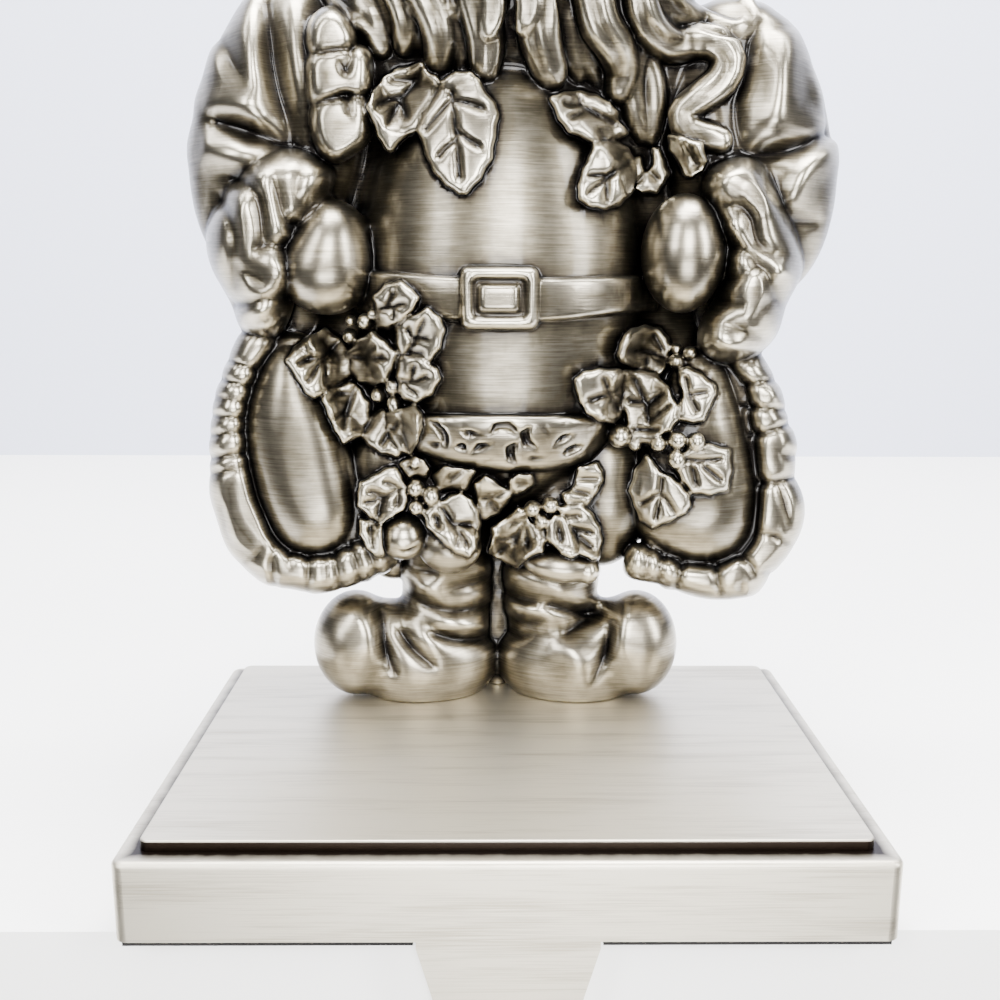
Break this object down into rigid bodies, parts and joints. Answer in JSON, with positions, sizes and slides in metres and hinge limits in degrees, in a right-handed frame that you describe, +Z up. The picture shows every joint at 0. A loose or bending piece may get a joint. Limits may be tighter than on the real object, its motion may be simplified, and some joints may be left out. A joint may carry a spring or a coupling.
{
  "type": "mantel stocking holder",
  "caption": "Weighted cast stocking holder: a base with a front strap and J-hook, and a carved Father Christmas figure standing on it.",
  "frame": {"origin": "middle of the pad's underside, where the holder rests on the mantel", "axes": "+Z up, -Y towards the room, where the strap and hook hang over the mantel's edge, +X to the viewer's right"},
  "size_m": [0.1228, 0.103, 0.2415],
  "materials": {
    "brushed_casting": "cast zinc alloy, antique pewter plate, brushed and lacquered",
    "antique_casting": "cast zinc alloy, antique pewter plate, dark patina left in the recesses, lacquered",
    "foam_pad": "black closed-cell foam",
    "ballast_steel": "plain mild steel plate",
    "screw_steel": "zinc-plated steel"
  },
  "bodies": {
    "root": {"base_casting": "brushed_casting", "figure": "antique_casting", "base_pad": "foam_pad", "ballast_plate": "ballast_steel", "ballast_screws": "screw_steel", "figure_screws": "screw_steel"}
  },
  "joints": []
}
